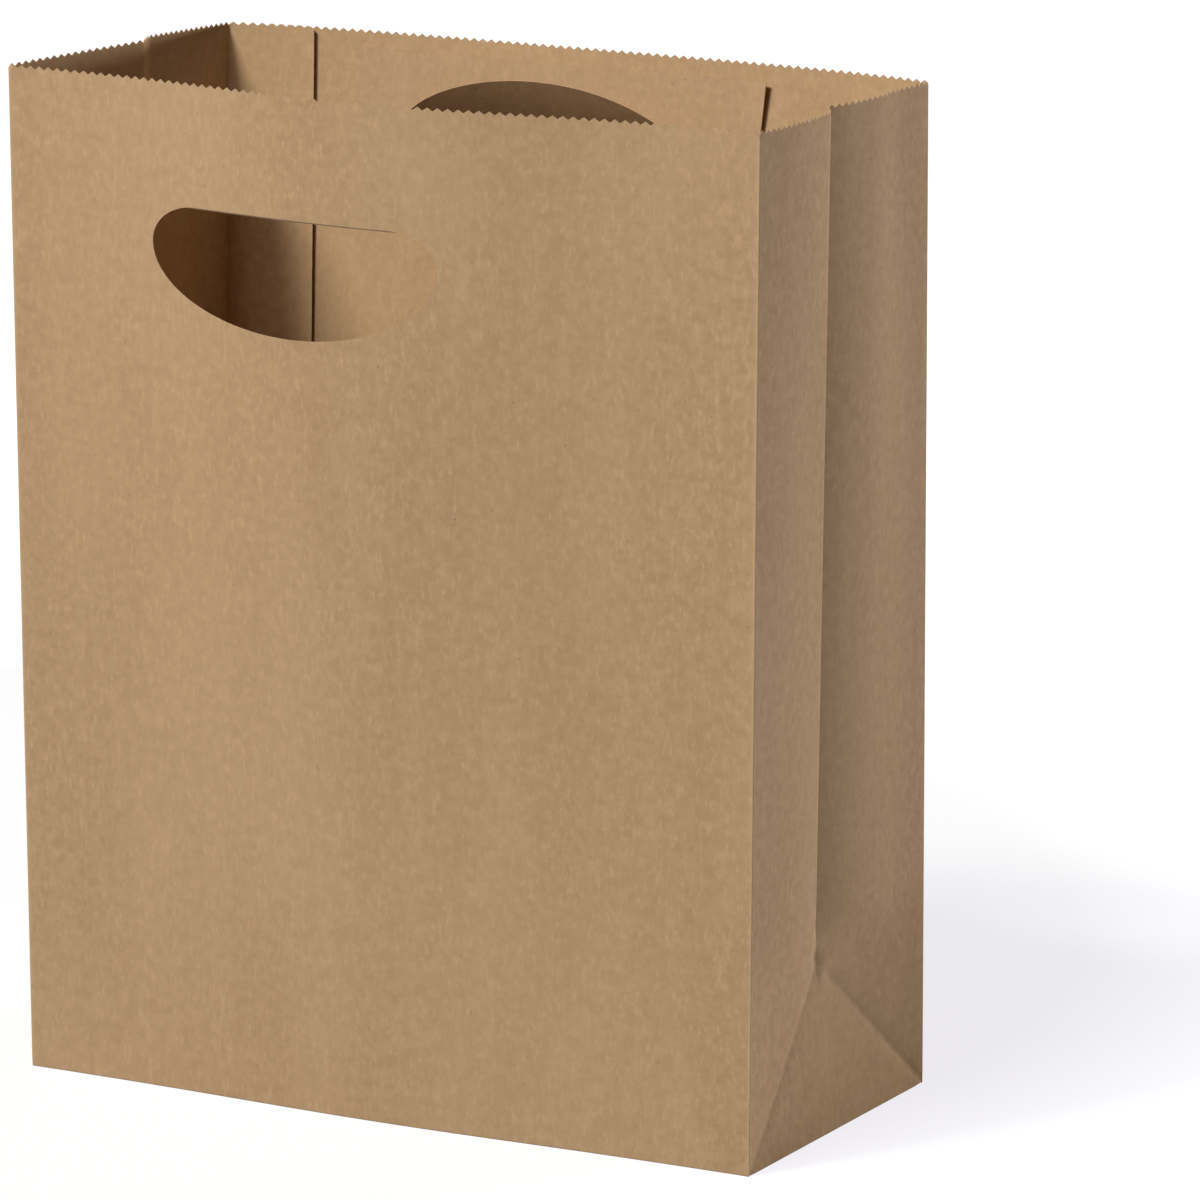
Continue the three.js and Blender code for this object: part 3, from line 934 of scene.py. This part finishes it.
def kraft(name, paper):
    """Brown kraft: mottled, with fine fibres, faint streaks, soft bands, a few specks, and folds painted
    pale, partly as rubbed wear and partly as painted light.
    """
    material = bpy.data.materials.new(name)
    material.use_nodes = True
    nodes = Nodes(material.node_tree)
    shader = material.node_tree.nodes["Principled BSDF"]
    place = nodes.add("ShaderNodeTexCoord").outputs["Object"]
    tone, shade, light, speck = (linear(*color) for color in paper)
    mottle = nodes.noise(place, MOTTLE)
    color = nodes.blend(nodes.ramp(mottle, MOTTLE.limits, (0.0, MOTTLE.most)), shade, tone)
    for pattern, tint in ((UPRIGHT_FIBRES, light), (LEVEL_FIBRES, shade), (STREAKS, shade),
                          (BANDS, light), (SPECKS, speck)):
        shows = nodes.ramp(nodes.noise(place, pattern), pattern.limits, (0.0, pattern.most))
        color = nodes.blend(shows, color, tint)
    # Folds painted pale: partly rubbed wear, partly painted light
    fold = nodes.add("ShaderNodeAttribute", attribute_name="fold").outputs["Fac"]
    color = nodes.blend(nodes.ramp(fold, (0.0, 1.0), (0.0, RUBBED_AND_PAINTED_LIGHT_TINT)), color, light)
    nodes.link(color, shader.inputs["Base Color"])
    nodes.link(nodes.ramp(mottle, ROUGHNESS_LIMITS, ROUGHNESS), shader.inputs["Roughness"])
    shader.inputs["Specular IOR Level"].default_value = SPECULAR
    bump = nodes.add("ShaderNodeBump")
    bump.inputs["Strength"].default_value = BUMP_STRENGTH
    bump.inputs["Distance"].default_value = BUMP_DISTANCE
    nodes.link(nodes.noise(place, GRAIN), bump.inputs["Height"])
    nodes.link(bump.outputs["Normal"], shader.inputs["Normal"])
    return material


def shown_ray(nodes):
    """1 where the camera sees a surface, straight or in gloss or glass, and 0 where it only sheds light."""
    path = nodes.add("ShaderNodeLightPath")
    seen = path.outputs["Is Camera Ray"]
    for kind in ("Is Glossy Ray", "Is Transmission Ray"):
        either = nodes.add("ShaderNodeMath", operation="MAXIMUM")
        nodes.link(seen, either.inputs[0])
        nodes.link(path.outputs[kind], either.inputs[1])
        seen = either.outputs[0]
    return seen


def white_stage(name):
    """A floor that is seen as white where it is lit, and keeps the bag's soft shadow."""
    material = bpy.data.materials.new(name)
    material.use_nodes = True
    nodes = Nodes(material.node_tree)
    shader = material.node_tree.nodes["Principled BSDF"]
    seen = shown_ray(nodes)
    nodes.link(nodes.blend(seen, FLOOR_COLOR, FLOOR_SHOWN), shader.inputs["Base Color"])
    shader.inputs["Roughness"].default_value = FLOOR_ROUGHNESS
    shader.inputs["Specular IOR Level"].default_value = FLOOR_SPECULAR
    place = nodes.add("ShaderNodeTexCoord").outputs["Object"]
    away = nodes.add("ShaderNodeVectorMath", operation="DISTANCE")
    nodes.link(place, away.inputs[0])
    away.inputs[1].default_value = FADE_AROUND
    lift = nodes.ramp(away.outputs["Value"], FLOOR_FADE, (FLOOR_LIFT, 1.0))
    shown = nodes.add("ShaderNodeMath", operation="MULTIPLY")
    nodes.link(seen, shown.inputs[0])
    nodes.link(lift, shown.inputs[1])
    nodes.link(shown.outputs[0], shader.inputs["Emission Strength"])
    shader.inputs["Emission Color"].default_value = FLOOR_GLOW
    return material


# Stage, lights and camera


def from_front(right, up):
    """A direction out from the bag: degrees to the right of its front, and degrees up."""
    azimuth = math.radians(right)
    elevation = math.radians(up)
    level = math.cos(elevation)
    return Vector((math.sin(azimuth) * level, -math.cos(azimuth) * level, math.sin(elevation)))


def make_lamp(lamp):
    data = bpy.data.lights.new(lamp.name, "AREA")
    data.energy = lamp.power
    data.color = lamp.color
    data.shape = "RECTANGLE"
    data.size, data.size_y = lamp.size
    place = from_front(-lamp.left, lamp.up) * lamp.away
    light = bpy.data.objects.new(lamp.name, data)
    light.location = place + LAMP_AIM
    light.rotation_euler = (-place).to_track_quat("-Z", "Y").to_euler()
    bpy.context.scene.collection.objects.link(light)


def make_world():
    world = bpy.data.worlds.new("studio")
    bpy.context.scene.world = world
    world.use_nodes = True
    nodes = Nodes(world.node_tree)
    background = world.node_tree.nodes["Background"]
    background.inputs["Color"].default_value = SKY_COLOR
    nodes.link(nodes.ramp(shown_ray(nodes), (0.0, 1.0), (AMBIENT, 1.0)), background.inputs["Strength"])


def make_stage():
    half = FLOOR_SIZE / 2
    corners = [(-half, -half, 0), (half, -half, 0), (half, half, 0), (-half, half, 0)]
    mesh = bpy.data.meshes.new("floor")
    mesh.from_pydata(corners, [], [(0, 1, 2, 3)])
    mesh.materials.append(white_stage("white_floor"))
    floor = bpy.data.objects.new("floor", mesh)
    bpy.context.scene.collection.objects.link(floor)


def make_camera():
    azimuth = math.radians(EYE_RIGHT)
    roll = math.radians(EYE_ROLL)
    back = from_front(EYE_RIGHT, EYE_UP)
    level = Vector((math.cos(azimuth), math.sin(azimuth), 0))
    upright = back.cross(level)
    right = level * math.cos(roll) + upright * math.sin(roll)
    up = upright * math.cos(roll) - level * math.sin(roll)
    data = bpy.data.cameras.new("camera")
    data.lens = LENS
    data.sensor_width = SENSOR_WIDTH
    camera = bpy.data.objects.new("camera", data)
    turn = Matrix((right, up, back)).transposed().to_4x4()
    camera.matrix_world = Matrix.Translation(EYE_TARGET + back * EYE_DISTANCE) @ turn
    bpy.context.scene.collection.objects.link(camera)
    bpy.context.scene.camera = camera


# The object

kraft_paper = kraft("kraft_paper", OUTER_FACE)
# Inner faces painted lighter, as painted light inside the bag
inner_face_painted_lighter = kraft("kraft_inner_face", INNER_FACE_PAINTED_LIGHTER)
cut_edge = kraft("kraft_cut_edge", CUT_EDGE)
# Patches painted lighter, as painted light inside the bag
patch_paper = kraft("patch_paper", PATCH_FACE_PAINTED_LIGHTER)

bag = Sheet()
wall_sheet(bag)
flap_sheet(bag, FRONT)
flap_sheet(bag, BACK)
base_sheet(bag)
bag_piece = bag.build("folded_bag", [kraft_paper, inner_face_painted_lighter, cut_edge])
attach(bag_piece, "root")
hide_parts("bag_body")

for node, towards in (("front_handle_patch", FRONT), ("back_handle_patch", BACK)):
    patch = patch_sheet(towards).build(node + "_sheet", [patch_paper, patch_paper, cut_edge])
    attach(patch, "root")
    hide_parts(node)

# The studio

make_world()
make_stage()
for lamp in LAMPS:
    make_lamp(lamp)
make_camera()
bpy.context.scene.view_settings.view_transform = "Standard"
